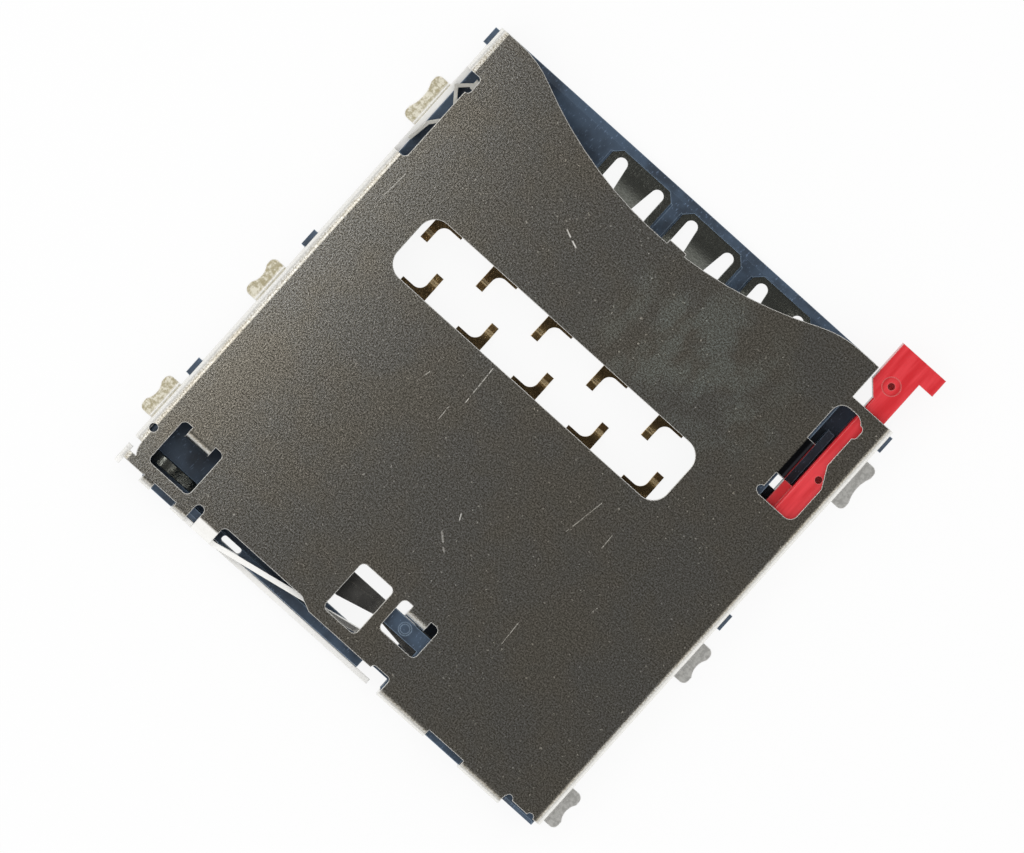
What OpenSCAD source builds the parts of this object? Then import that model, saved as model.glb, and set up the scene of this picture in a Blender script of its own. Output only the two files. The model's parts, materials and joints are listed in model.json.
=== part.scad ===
// SIM card socket for a pull-out tray, with a push-rod ejector.
// +Z is up from the board, the tray goes in along +Y, and the origin is on the board
// under the middle of the cover. The push rod runs along the -X side.

/* [Body] */
// Width of the space that the tray slides in
tray_w = 12.7; // [12.5:0.1:13.6]
// Depth from the mouth edge to the outside of the back wall
body_d = 15.6; // [15.5:0.1:17]
// Height from the board to the top of the cover
body_h = 1.5; // [1.46:0.02:1.8]
// Thickness of the moulded floor
floor_t = 0.4; // [0.36:0.02:0.46]
// Width of the rail beside the tray
rail_w = 0.39; // [0.34:0.01:0.5]
// Width of the wall between the tray and the push rod
divider_w = 0.28; // [0.2:0.01:0.4]
// Width of the channel that the push rod slides in
channel_w = 1.27; // [1.24:0.01:1.5]
// Width of the thin rail outside the push rod
outer_rail_w = 0.12; // [0.1:0.01:0.2]
// Thickness of the moulded back wall
back_wall_t = 0.3; // [0.2:0.02:0.34]

/* [Cover] */
// Thickness of the cover sheet
sheet_t = 0.15; // [0.12:0.01:0.17]
// Outer radius of the folds
fold_r = 0.25; // [0.2:0.01:0.3]
// Height of the side walls above the board
wall_lift = 0.15; // [0.1:0.01:0.2]
// Depth of the concave mouth edge
mouth_sag = 1.34; // [0.8:0.02:1.5]
// Width of the concave mouth edge
mouth_w = 10.9; // [9:0.1:11.4]
// How far the rod side of the cover stops short of the mouth
rod_step = 1.06; // [0.9:0.02:1.2]
// Reach of the solder feet beyond the side walls
foot_reach = 0.44; // [0.3:0.02:0.6]
// Depth of the waist in the outline of a solder foot
foot_waist = 0.1; // [0.05:0.01:0.15]
// Inside angle of the back spring arm
arm_angle = 11; // [8:0.5:12]
// Length of the back spring arm
arm_len = 4.7; // [4:0.1:5]

/* [Contacts] */
// Pitch of the card pads across the tray
pad_pitch = 2.54; // [2.5:0.01:2.6]
// Distance between the two columns of card pads
pad_span = 7.62; // [7.6:0.02:7.8]
// Distance from the mouth edge to the front pads
pad_inset = 2.07; // [2.02:0.01:2.3]
// Distance from the side wall to the middle pad
pad_side = 8.04; // [7.9:0.02:8.2]
// Thickness of the contact sheet
lead_t = 0.12; // [0.1:0.01:0.13]
// Height of the contact sheet above the board
lead_lift = 0.14; // [0.1:0.01:0.16]
// Rise of the contact beams
beam_rise = 0.52; // [0.4:0.02:0.56]
// Width of a contact beam at its root
beam_root_w = 0.94; // [0.8:0.02:1]
// Width of a contact beam at its tip
beam_tip_w = 0.46; // [0.3:0.02:0.6]
// Width of the slots beside a contact beam
slot_w = 0.36; // [0.3:0.02:0.4]
// Pitch of the solder tails
tail_pitch = 2; // [1.96:0.01:2.02]
// Width of a solder tail
tail_w = 0.24; // [0.18:0.01:0.3]
// Length of the solder tail's foot along the window edge
tail_foot = 0.75; // [0.5:0.05:0.8]

/* [Window] */
// Width of the inspection window
window_w = 9.74; // [9.6:0.02:10]
// Depth of the inspection window
window_d = 1.94; // [1.8:0.02:2]
// Corner radius of the inspection window
window_r = 0.5; // [0.3:0.05:0.8]

/* [Ejector] */
// Width of the push rod
rod_w = 0.7; // [0.62:0.02:0.72]
// Running clearance round the push rod
rod_gap = 0.05; // [0.04:0.01:0.08]
// Length of the push rod's head beyond the mouth edge
head_reach = 0.92; // [0.85:0.02:1.2]
// Thickness of the ejector lever
lever_t = 0.3; // [0.2:0.02:0.34]
// Distance from the lever's pivot to the push rod
short_arm = 3.3; // [3.1:0.05:3.5]
// Length of the lever's arm behind the tray
long_arm = 4.7; // [4.5:0.05:4.9]
// Diameter of the lever's pivot post
post_d = 0.9; // [0.7:0.02:1]
// Radial clearance of the lever on its post
pivot_gap = 0.03; // [0.02:0.01:0.06]

/* [Hidden] */
$fn = 48;
past = 1;
skin = 0.02;
plastic = [0.10, 0.12, 0.17];
steel = [0.62, 0.61, 0.58];
bronze = [0.62, 0.50, 0.33];
red = [0.86, 0.09, 0.11];

// Widths and places that follow from the sizes above
seat = sheet_t + skin;
body_w = 2 * seat + rail_w + tray_w + divider_w + channel_w + outer_rail_w;
roof_z = body_h - sheet_t;
fold_in = fold_r - sheet_t;
rail_x = from_left(seat + rail_w);
divider_x = rail_x - tray_w;
channel_x = divider_x - divider_w;
rod_x = from_right(seat + outer_rail_w + rod_gap);
rod_in_x = rod_x + rod_w;
lead_top = lead_lift + lead_t;
front_pad_y = from_mouth(pad_inset);
rear_pad_y = front_pad_y + pad_span;
window_y = (front_pad_y + rear_pad_y) / 2;
window_side = 6.8;
window_x = from_left(window_side);
window_wall = 0.18;
sill_r = 0.2;
tail_shift = 0.545;

// Sizes of a contact, measured from its contact point
beam_root = 1.66;
beam_tip = 0.45;
beam_room = 0.16;
bar_depth = 0.32;
well_side = 0.07;
well_corner = 0.22;
well_bevel = 0.06;
well_over = 0.1;
plate_gap = 0.3;
plate_rim = 0.22;
plate_w = pad_pitch - plate_gap;
plate_front = beam_root + plate_rim;
plate_rear = beam_tip + beam_room + bar_depth;
opening_w = beam_root_w + 2 * slot_w;
neck_w = 0.3;
sill = pad_span / 2 - window_d / 2 - window_wall;
foot_shown = 0.09;
foot_tip = pad_span / 2 - window_d / 2 + foot_shown;
tail_gap = 0.44;
tail_tip = (pad_span - tail_gap) / 2;
tail_fillet = 0.26;
drop_run = 0.14;
drop_share = 0.45;
tip_drop = 0.26;

// Places along the push rod, measured inward from the mouth edge
head_w = 1.05;
head_foot_w = 1.52;
head_foot_d = 0.56;
head_side_d = 1.26;
head_taper_d = 1.63;
stop_gap = 0.02;
rod_stroke = rod_step + head_reach - head_foot_d - stop_gap;
rod_bottom = floor_t + rod_gap;
rod_top = roof_z - rod_gap;
rod_chamfer = 0.05;
rod_nose = 0.2;
lug_w = 0.28;
lug_len = 0.75;
lug_front = 3.95;
lug_top = rod_top - 0.2;
lug_slot = 0.4;
rib_front = 2.18;
rib_top = lug_top - 0.35;
mark_d = 0.52;
mark_back = 1.09;
pin_hole_d = 0.2;
shaft_hole = [0.3, 3.35];
guide_start = lug_front + lug_len + rod_stroke + 2 * rod_gap;
guide_leg_x = rod_in_x + lug_w + skin;
guide_leg_z = 0.75;
guide_tab_front = 2.69;
guide_fold_r = sheet_t + 0.04;
rod_window_side = 1.64;
rod_window_x = from_right(rod_window_side);
rod_window_ends = [1.35, 4.7];
rod_window_sides = [0.74, 0.65, 0.43];
rod_window_r = 0.34;
rod_window_rear_r = 0.25;
rod_bulge = [0.28, 0.45];
rod_widening = [2.9, 3.49];
rod_relief_back = 0.14;

// The lever swings as far each side of straight as half of the rod's travel
half_swing = asin(rod_stroke / 2 / short_arm);
lever_lift = 0.12;
lever_z = floor_t + lever_lift;
pivot_x = rod_x + rod_w / 2 + short_arm * (1 + cos(half_swing)) / 2;
pivot_back = 1.62;
pivot_y = from_back(pivot_back);
hub_wall = 0.3;
hub_r = post_d / 2 + hub_wall;
tip_r = 0.28;
lever_root = 0.5;
lever_root_share = 0.8;
lever_waist = [1.58, 0.07];
pusher_len = 0.45;
pusher_rear = 0.36;
pusher_front = 0.42;
tip_neck = 0.08;
coin_d = 0.08;
coin_from = [1.9, 0.28];
coin_to = 0.05;
rod_end_y = pivot_y - short_arm * sin(half_swing) - tip_r - rod_gap;
divider_end = 2.9;

// Back wall, measured from the left wall: folds, and the strip with its spring arm
left_folds = [[0.87, 1.24], [2.01, 2.46], [2.74, 3.41]];
right_fold = [2.69, 1.24];
middle_fold_end = 3.94;
arm_x = from_left(3.51);
arm_low = 0.72;
arm_high = roof_z - 0.15;
arm_room = 0.07;
arm_bay = [3.21, 9.51];
arm_slot = [3.9, 0.36, 0.65, 0.2];
strip_low = wall_lift + 0.05;
strip_high = arm_low - 0.1;
strip_from = from_left(left_folds[1][1]);
strip_to = from_left(9.1);
notch_plug_back = 0.07;
notch_plug_low = 0.35;

// Back windows: distance from the side wall, from the back wall, width, depth, tab width
window_1 = [6.82, 0.80, 1.14, 1.63];
window_2 = [8.30, 1.38, 1.28, 1.06, 0.66];
window_3 = [0.69, 0.59, 1.43, 1.47, 0.82];
tab_window_r = 0.15;
tab_run = 0.34;
tab_drop = 0.45;

// Solder feet: middle and length, for each side
feet_left = [[from_mouth(2.80), 1.46], [1.51, 1.20], [from_back(2.06), 1.20]];
feet_right = [[from_mouth(2.84), 1.46], [1.51, 1.20], [from_back(1.03), 1.18]];
foot_bend = 0.1;
foot_corner = 0.17;
// Snap bosses: middle, for each side
bosses_left = [from_mouth(0.36), -0.12, from_back(3.28)];
bosses_right = [from_mouth(1.45), 0.1];
boss_len = 0.52;
boss_out = 0.13;
boss_low = 0.55;
boss_high = 0.95;
boss_gap = 0.03;

// Left slot in the cover, over the switch spring
slot_front = 1.4;
slot_rear = 4.34;
slot_low = 0.58;
slot_reach = 0.39;
slot_lobe = [0.51, 0.55];
slot_r = 0.15;
lobe_r = 0.12;
spring_t = 0.1;
spring_low = 0.62;
spring_high = roof_z - 0.2;
spring_post_d = 0.3;
// Bends of the switch spring: distance in from the wall, and back from the slot's front end
spring_bends = [[0.12, 0.58], [0.66, 1.28], [0.22, 1.83], [0.12, 2.48]];

// Back corners of the cover: the left one is round and carries a tab, the right one is notched
corner_mid = 0.85;
corner_r = 0.62;
corner_neck = [0.22, 0.47];
corner_tab_len = 0.58;
corner_tab_low = 0.5;
notch_w = 1.23;
notch_d = 0.32;
notch_reliefs = [1.11, 0.36];
relief_d = 0.2;
pilot_hole = [0.21, 1.35, 0.24];

// Cut-out over the spring arm: relief slot, root corner, step and end notch
relief_slot = [2.6, 0.28, 0.51];
bay_corner_r = 0.15;
bay_deep = 0.64;
bay_shallow = 0.45;
bay_step = [6.2, 6.62];
bay_end = 9.48;
bay_notch = [9.17, 0.62, 0.24];
bay_notch_r = 0.11;

// Mouth edge: blend radius and the stub of the carrier strip
mouth_blend = 3;
stub_x = from_left(7.45);
stub_w = 0.6;
stub_out = 0.13;
rod_corner_w = 1.47;

// Floor of the moulding behind the tray, and the bridge over the lever
lever_view = [6.41, 9.06, 0.92, 2.52];
strip_gate = [8.61, 9.46];
bridge_from = 8.26;
bridge_to = 10.1;
bridge_leg = 9.51;
bridge_ring_x = 8.87;
bridge_ring = [0.36, 0.26];
mouth_lip = [0.22, 0.1];

function from_left(d) = body_w / 2 - d;
function from_right(d) = d - body_w / 2;
function from_mouth(d) = d - body_d / 2;
function from_back(d) = body_d / 2 - d;
function clamp(v, low, high) = min(max(v, low), high);
function pad_x(i) = from_left(pad_side) + (1 - i) * pad_pitch;
function front_tail_x(i) = window_x + tail_shift + (2 - i) * tail_pitch;
function rear_tail_x(i) = front_tail_x(i) - tail_pitch / 2;

// Unit normal of a path at point i, lengthened so that mitred corners keep their thickness
function unit(v) = v / norm(v);
function side_of(v) = [-v[1], v[0]];
function path_normal(path, i) =
    let (n = len(path) - 1,
         before = unit(path[max(i, 1)] - path[max(i, 1) - 1]),
         after = unit(path[min(i, n - 1) + 1] - path[min(i, n - 1)]),
         middle = unit(side_of(before) + side_of(after)))
    middle / (middle * side_of(before));
function ribbon(path, t) =
    concat([for (i = [0:len(path) - 1]) path[i] + path_normal(path, i) * t / 2],
           [for (i = [len(path) - 1:-1:0]) path[i] - path_normal(path, i) * t / 2]);

// Rectangle with rounded corners, centred
module round_rect(w, d, r) {
    square([w - 2 * r, d], center = true);
    square([w, d - 2 * r], center = true);
    for (sx = [-1, 1], sy = [-1, 1])
        translate([sx * (w / 2 - r), sy * (d / 2 - r)])
            circle(r = r);
}

// Rectangle given by two opposite corners
module span(x0, y0, x1, y1) {
    translate([min(x0, x1), min(y0, y1)])
        square([abs(x1 - x0), abs(y1 - y0)]);
}

// Box over a plan rectangle, from z0 to z1
module block(x0, y0, x1, y1, z0, z1) {
    translate([0, 0, z0])
        linear_extrude(z1 - z0)
            span(x0, y0, x1, y1);
}

// Cross-section with its two top corners rounded, standing on the board
module fold_section(w, h, r) {
    translate([-w / 2, 0])
        square([w, h - r]);
    translate([r - w / 2, 0])
        square([w - 2 * r, h]);
    for (s = [-1, 1])
        translate([s * (w / 2 - r), h - r])
            circle(r = r);
}

// Section in X and Z, extruded along Y from y0 to y1
module along_y(y0, y1) {
    translate([0, y1, 0])
        rotate([90, 0, 0])
            linear_extrude(y1 - y0)
                children();
}

// Section in Y and Z, extruded along X from x0 to x1
module along_x(x0, x1) {
    translate([x0, 0, 0])
        rotate([90, 0, 90])
            linear_extrude(x1 - x0)
                children();
}

// Sheet folded down at the origin: its outer faces lie on y = 0 and x = 0, its bend is r outside
module fold_down(run, drop, r) {
    difference() {
        union() {
            span(-r - run, -drop, -r, 0);
            span(-r - run, -drop, 0, -r);
            translate([-r, -r])
                circle(r = r);
        }
        span(-r - run - past, -drop - past, -r, -sheet_t);
        span(-r - run - past, -drop - past, -sheet_t, -r);
        translate([-r, -r])
            circle(r = r - sheet_t);
    }
}

// Strip of the contact sheet along a path in plan
module strip(path, w) {
    polygon(ribbon(path, w));
}

// Rise of a spring beam at distance s from its root: a half wave up, then down to the tip
function beam_height(s, reach, rise) =
    s < reach ? rise * (1 - cos(180 * s / reach)) / 2
              : rise - tip_drop * pow((s - reach) / beam_tip, 2);

// Spring beam along +Y from its root, with its top over the point y = reach
module spring_beam(reach, rise, root_w, tip_w) {
    total = reach + beam_tip;
    steps = 26;
    mid_z = lead_lift + lead_t / 2;
    path = concat([[-bar_depth / 2, mid_z]],
                  [for (i = [0:steps]) let (s = total * i / steps)
                      [s, mid_z + beam_height(s, reach, rise)]]);
    intersection() {
        along_x(-root_w, root_w)
            polygon(ribbon(path, lead_t));
        linear_extrude(body_h)
            polygon([[-root_w / 2, -bar_depth], [root_w / 2, -bar_depth], [root_w / 2, 0],
                     [tip_w / 2, reach], [tip_w / 2, total + past],
                     [-tip_w / 2, total + past], [-tip_w / 2, reach], [-root_w / 2, 0]]);
    }
}

// Plan of a tail inside the floor, from the neck to the foot along the window edge
module tail_root_plan(stem, neck) {
    span(min(stem - tail_foot, neck - neck_w / 2), sill - neck_w,
         max(stem + tail_w / 2, neck + neck_w / 2), sill);
    span(neck - neck_w / 2, plate_rear - bar_depth, neck + neck_w / 2, sill);
}

// Solder tail: foot along the window edge, then a stem that steps down to the board
module solder_tail(stem) {
    translate([0, 0, lead_lift])
        linear_extrude(lead_t) {
            span(stem - tail_foot, sill - skin, stem + tail_w / 2, foot_tip);
            difference() {
                span(stem - tail_w / 2 - tail_fillet, foot_tip - skin,
                     stem, foot_tip + tail_fillet);
                translate([stem - tail_w / 2 - tail_fillet, foot_tip + tail_fillet])
                    circle(r = tail_fillet);
            }
        }
    crease = foot_tip + (tail_tip - foot_tip) * drop_share;
    along_x(stem - tail_w / 2, stem + tail_w / 2)
        polygon([[sill, lead_lift], [crease, lead_lift], [crease + drop_run, 0], [tail_tip, 0],
                 [tail_tip, lead_t], [crease + drop_run, lead_t], [crease, lead_top],
                 [sill, lead_top]]);
}

// Places of the necks that carry a contact's tails, kept within the plate
function neck_at(stem) =
    clamp(stem - tail_foot / 2, neck_w / 2 - plate_w / 2, plate_w / 2 - neck_w / 2);

// Outline of a contact inside the floor, without the opening round its beam
module contact_plan(stems) {
    span(-plate_w / 2, -plate_front, plate_w / 2, plate_rear);
    for (stem = stems)
        tail_root_plan(stem, neck_at(stem));
}

// Opening round the beam: two slots with round ends and the room under the beam
module beam_opening() {
    rear = beam_tip + beam_room;
    for (s = [-1, 1]) {
        slot_x = s * (beam_root_w + slot_w) / 2;
        translate([slot_x, slot_w / 2 - beam_root])
            circle(d = slot_w);
        span(slot_x - slot_w / 2, slot_w / 2 - beam_root, slot_x + slot_w / 2, rear);
    }
    span(-opening_w / 2 + slot_w / 2, bar_depth / 2 - beam_root, opening_w / 2 - slot_w / 2, rear);
}

// One stamped contact about its contact point, with its mouth side toward -Y
module contact(stems) {
    translate([0, 0, lead_lift])
        linear_extrude(lead_t)
            difference() {
                contact_plan(stems);
                beam_opening();
            }
    translate([0, bar_depth / 2 - beam_root, 0])
        spring_beam(beam_root - bar_depth / 2, beam_rise, beam_root_w, beam_tip_w);
    for (stem = stems)
        solder_tail(stem);
}

// Well in the floor over a contact, chamfered at its outer corners
module well_plan() {
    side = plate_w / 2 - well_side;
    front = plate_front - well_side;
    rear = plate_rear - bar_depth + well_over;
    polygon([[well_corner - side, -front], [side - well_corner, -front],
             [side, well_corner - front], [side, rear], [-side, rear],
             [-side, well_corner - front]]);
}

// Bevels along the two long edges of a well
module well_bevels() {
    side = plate_w / 2 - well_side;
    for (s = [0, 1])
        mirror([s, 0, 0])
            along_y(well_corner + well_side - plate_front, plate_rear - bar_depth + well_over)
                polygon([[side - well_bevel, floor_t - 2 * well_bevel], [side + well_bevel, floor_t],
                         [side + well_bevel, floor_t + past], [side - well_bevel, floor_t + past]]);
}

// Tails carried by each contact of a column, counted from the left
tail_sets = [[1], [2, 3], [4]];
function front_offsets(i) = [for (k = tail_sets[i]) front_tail_x(k) - pad_x(i)];
function rear_offsets(i) = [for (k = tail_sets[i]) pad_x(i) - rear_tail_x(k)];

// Places a child on a pad of the front or the rear column
module at_front(i) {
    translate([pad_x(i), front_pad_y, 0])
        children();
}

module at_rear(i) {
    translate([pad_x(i), rear_pad_y, 0])
        rotate([0, 0, 180])
            children();
}

// Terminals of the two switches lie on the same sheet as the contacts
side_stem = front_tail_x(0);
end_stem = rear_tail_x(0);
strip_w = 0.34;
strip_shift = 0.5;
strip_turn = 0.25;
strip_in = 0.6;
strip_back = 0.3;
spring_root_in = 0.36;
spring_root_back = 0.24;
spring_root = [from_left(spring_root_in), from_mouth(slot_front + spring_root_back)];
spring_foot_x = spring_root[0] - strip_w / 2;
leaf_back = 0.8;
leaf_y = from_back(leaf_back);
leaf_reach = 1.25;
leaf_rise = 0.5;
leaf_root = 2.3;
leaf_root_x = from_left(leaf_root);
leaf_w = 0.28;
side_strip = [[side_stem - strip_shift, front_pad_y + sill],
              [side_stem - strip_shift, front_pad_y + sill - strip_turn],
              [rail_x - strip_in, from_mouth(slot_rear - strip_back)],
              [rail_x - strip_in, spring_root[1]], [spring_foot_x, spring_root[1]]];
end_strip = [[end_stem + strip_shift, rear_pad_y - sill],
             [end_stem + strip_shift, leaf_y - leaf_w / 2]];

module side_strip_plan() {
    strip(side_strip, strip_w);
    span(side_stem - tail_foot, front_pad_y + sill - neck_w,
         side_stem + tail_w / 2, front_pad_y + sill);
}

module end_strip_plan() {
    strip(end_strip, strip_w);
    span(end_stem - tail_w / 2, rear_pad_y - sill,
         end_stem + tail_foot, rear_pad_y - sill + neck_w);
    span(end_stem + strip_shift - strip_w / 2, leaf_y - leaf_w / 2, leaf_root_x,
         leaf_y + leaf_w / 2);
}

module side_switch_spring() {
    color(bronze) {
        translate([0, 0, lead_lift])
            linear_extrude(lead_t)
                side_strip_plan();
        translate([0, front_pad_y, 0])
            solder_tail(side_stem);
        block(spring_foot_x, spring_root[1] - spring_post_d / 2, spring_foot_x + spring_t,
              spring_root[1] + spring_post_d / 2, lead_lift, spring_high);
        translate([0, 0, spring_low])
            linear_extrude(spring_high - spring_low)
                strip(concat([[spring_foot_x + spring_t / 2, spring_root[1]]],
                             [for (b = spring_bends)
                                 [from_left(b[0]), from_mouth(slot_front + b[1])]]), spring_t);
    }
}

module end_switch_leaf() {
    color(bronze) {
        translate([0, 0, lead_lift])
            linear_extrude(lead_t)
                end_strip_plan();
        translate([end_stem, rear_pad_y, 0])
            rotate([0, 0, 180])
                solder_tail(0);
        translate([leaf_root_x, leaf_y, 0])
            rotate([0, 0, -90])
                spring_beam(leaf_reach, leaf_rise, leaf_w, leaf_w);
    }
}

// Push rod: a head with a side foot, a tapered shoulder and a shaft with a stop lug
module push_rod() {
    head_y = from_mouth(-head_reach);
    head_x = rod_x + head_w;
    mark = [head_x - head_w / 2, head_y + mark_back];
    color(red)
        difference() {
            union() {
                translate([0, 0, rod_bottom])
                    linear_extrude(rod_top - rod_bottom)
                        polygon([[rod_x, rod_end_y], [rod_in_x - rod_nose, rod_end_y],
                                 [rod_in_x, rod_end_y - rod_nose],
                                 [rod_in_x, head_y + head_taper_d], [head_x, head_y + head_side_d],
                                 [head_x, head_y], [head_x - head_foot_w, head_y],
                                 [head_x - head_foot_w, head_y + head_foot_d],
                                 [rod_x, head_y + head_foot_d]]);
                block(rod_in_x - rod_chamfer, from_mouth(lug_front), rod_in_x + lug_w,
                      from_mouth(lug_front + lug_len), rod_bottom, lug_top);
            }
            along_y(head_y + head_taper_d, rod_end_y + past)
                polygon([[rod_in_x - rod_chamfer, rod_top], [rod_in_x, rod_top - rod_chamfer],
                         [rod_in_x + past, rod_top - rod_chamfer], [rod_in_x + past, rod_top + past],
                         [rod_in_x - rod_chamfer, rod_top + past]]);
            translate([mark[0], mark[1], rod_top - rod_chamfer])
                cylinder(d = mark_d, h = past);
            for (hole = [mark, [rod_x + shaft_hole[0], from_mouth(shaft_hole[1])]])
                translate([hole[0], hole[1], rod_top - rod_w / 2])
                    cylinder(d = pin_hole_d, h = past);
        }
}

// Ejector lever about its pivot, at rest: the long arm lies behind the tray
module lever_blank() {
    waist = long_arm - lever_waist[0];
    root_w = lever_root_share * hub_r;
    neck_r = tip_r - tip_neck;
    cylinder(r = hub_r, h = lever_t);
    linear_extrude(lever_t)
        polygon([[0, lever_root], [waist, lever_waist[1]], [long_arm - pusher_len, pusher_rear],
                 [long_arm, pusher_rear], [long_arm, -pusher_front],
                 [waist - lever_root, -pusher_front], [0, -root_w]]);
    rotate([0, 0, 180 + half_swing]) {
        linear_extrude(lever_t)
            polygon([[0, -root_w], [short_arm, -neck_r], [short_arm, neck_r], [0, root_w]]);
        translate([short_arm, 0, 0])
            cylinder(r = tip_r, h = lever_t);
    }
}

// Ejector lever with its bore and its coined pusher edge
module eject_lever() {
    coin_x = long_arm - coin_from[0];
    color(steel)
        translate([pivot_x, pivot_y, lever_z])
            difference() {
                lever_blank();
                translate([0, 0, -past])
                    cylinder(d = post_d + 2 * pivot_gap, h = lever_t + 2 * past);
                translate([0, 0, lever_t - coin_d])
                    linear_extrude(past)
                        polygon([[coin_x, -coin_from[1]], [long_arm + past, -coin_to],
                                 [long_arm + past, -past], [coin_x, -past]]);
            }
}

// Outer form of the moulding, rounded where the cover's folds pass over it
module housing_envelope() {
    intersection() {
        along_y(from_mouth(0), from_back(seat))
            fold_section(body_w - 2 * seat, roof_z, fold_in);
        along_x(-body_w, body_w)
            polygon([[from_mouth(0), 0], [from_back(seat), 0],
                     [from_back(seat), roof_z - fold_in], [from_back(seat + fold_in), roof_z],
                     [from_mouth(0), roof_z]]);
    }
}

// Everything that the contacts and switch terminals take out of the floor
module terminal_room() {
    translate([0, 0, lead_lift])
        linear_extrude(lead_t) {
            side_strip_plan();
            end_strip_plan();
        }
    for (i = [0:2]) {
        at_front(i)
            contact_room(front_offsets(i));
        at_rear(i)
            contact_room(rear_offsets(i));
    }
    block(leaf_root_x, leaf_y - leaf_w / 2 - skin, leaf_root_x + leaf_reach + beam_tip + 2 * skin,
          leaf_y + leaf_w / 2 + skin, lead_lift, floor_t + past);
    block(spring_foot_x, spring_root[1] - spring_post_d / 2, spring_foot_x + spring_t,
          spring_root[1] + spring_post_d / 2, lead_lift, body_h);
}

// Seat of one contact, the well above it and the opening below its beam
module contact_room(stems) {
    translate([0, 0, lead_lift])
        linear_extrude(lead_t)
            contact_plan(stems);
    translate([0, 0, lead_top])
        linear_extrude(past)
            well_plan();
    well_bevels();
    block(-opening_w / 2, -beam_root, opening_w / 2, beam_tip + beam_room, -past, lead_lift);
}

// Spaces for the tray, the push rod and the lever, above the floor
module travel_room() {
    inner_back = from_back(seat + back_wall_t);
    outer_rail_x = from_right(seat + outer_rail_w);
    block(rail_x, from_mouth(-past), divider_x, inner_back, floor_t, body_h);
    block(channel_x, from_mouth(-past), outer_rail_x, inner_back, floor_t, body_h);
    block(rail_x, from_back(divider_end), outer_rail_x, inner_back, floor_t, body_h);
    block(channel_x, from_mouth(-past), from_right(-past), from_mouth(rod_step + 2 * skin),
          -past, body_h);
    block(from_left(-past), from_mouth(slot_front), rail_x, from_mouth(slot_rear),
          spring_low - rod_gap, body_h);
    block(from_left(arm_bay[0]), inner_back, from_left(arm_bay[1]), from_back(-past),
          arm_low - arm_room, body_h);
}

// Round back corner of the moulding, inside the corner of the cover
module round_corner_room() {
    translate([0, 0, -past])
        linear_extrude(body_h + 2 * past)
            difference() {
                span(from_left(corner_mid), from_back(corner_mid), from_left(-past), from_back(-past));
                translate([from_left(corner_mid), from_back(corner_mid)])
                    circle(r = corner_r - skin);
            }
}

// Openings right through the floor
module floor_openings() {
    translate([window_x, window_y, -past])
        linear_extrude(body_h)
            round_rect(window_w + 2 * window_wall, window_d + 2 * window_wall,
                       sill_r);
    block(from_left(lever_view[0]), from_back(lever_view[2]), from_left(lever_view[1]),
          from_back(lever_view[3]), -past, body_h);
    block(from_left(strip_gate[0]), from_back(-past), from_left(strip_gate[1]),
          from_back(seat + back_wall_t), -past, body_h);
    block(channel_x - skin, from_mouth(lug_front + skin), rod_in_x + lug_w,
          from_mouth(lug_front + lug_slot), -past, body_h);
    translate([from_left(arm_slot[0]), from_back(arm_slot[1]), -past])
        linear_extrude(body_h + past)
            round_rect(arm_slot[2], arm_slot[3], (arm_slot[3] - skin) / 2);
}

// Bridge over the lever, joined to the back wall
bridge_front = window_2[1] + window_2[3] - tab_run - skin;
bridge_d = 0.5;
bridge_low = lever_z + lever_t + 0.08;
bridge_high = roof_z - 0.05;
module lever_bridge() {
    difference() {
        union() {
            block(from_left(bridge_from), from_back(bridge_front), from_left(bridge_to),
                  from_back(bridge_front - bridge_d), bridge_low, bridge_high);
            block(from_left(bridge_leg), from_back(bridge_front), from_left(bridge_to),
                  from_back(seat + skin), bridge_low, bridge_high);
        }
        translate([from_left(bridge_ring_x), from_back(bridge_front - bridge_d / 2),
                   bridge_high - skin])
            difference() {
                cylinder(d = bridge_ring[0], h = past);
                cylinder(d = bridge_ring[1], h = past);
            }
    }
}

// Blocks that fill the gap beside the first fold of the back wall and the one beside the last
module notch_plugs() {
    for (gap = [[from_left(left_folds[0][1]), from_left(left_folds[1][0])],
                [from_right(middle_fold_end), from_right(right_fold[0])]])
        block(gap[0] - skin, from_back(seat + back_wall_t / 2), gap[1] + skin,
              from_back(notch_plug_back), notch_plug_low, roof_z - skin);
}

// Wedge that snaps into a wall window, on the +X side
module boss(y) {
    wall_x = from_left(seat);
    along_y(y - boss_len / 2, y + boss_len / 2)
        polygon([[wall_x - rail_w / 4, boss_low], [wall_x + skin + sheet_t + boss_out, boss_low],
                 [wall_x + skin + sheet_t + boss_out, boss_low + boss_out],
                 [wall_x + skin, boss_high], [wall_x - rail_w / 4, boss_high]]);
}

module bosses() {
    for (y = bosses_left)
        boss(y);
    for (y = bosses_right)
        mirror([1, 0, 0])
            boss(y);
}

// Moulded base with rails, rod channel, contact wells, lever post and bridge
module housing() {
    lip_z = floor_t - mouth_lip[1];
    color(plastic) {
        difference() {
            union() {
                difference() {
                    housing_envelope();
                    travel_room();
                }
                block(rod_in_x + rod_gap, from_mouth(rib_front), rod_in_x + lug_w,
                      from_mouth(lug_front - stop_gap), floor_t - skin, rib_top);
                block(channel_x + skin, from_mouth(guide_start), rod_in_x + rod_gap,
                      from_back(divider_end), floor_t - skin, roof_z);
            }
            terminal_room();
            floor_openings();
            round_corner_room();
            along_x(divider_x, rail_x)
                polygon([[from_mouth(-past), lip_z], [from_mouth(0), lip_z],
                         [from_mouth(mouth_lip[0]), floor_t],
                         [from_mouth(mouth_lip[0]), floor_t + past],
                         [from_mouth(-past), floor_t + past]]);
        }
        lever_bridge();
        notch_plugs();
        bosses();
        translate([pivot_x, pivot_y, floor_t - skin])
            cylinder(r = hub_r, h = lever_lift);
        translate([pivot_x, pivot_y, floor_t - skin])
            cylinder(d = post_d, h = roof_z - floor_t);
    }
}

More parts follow.
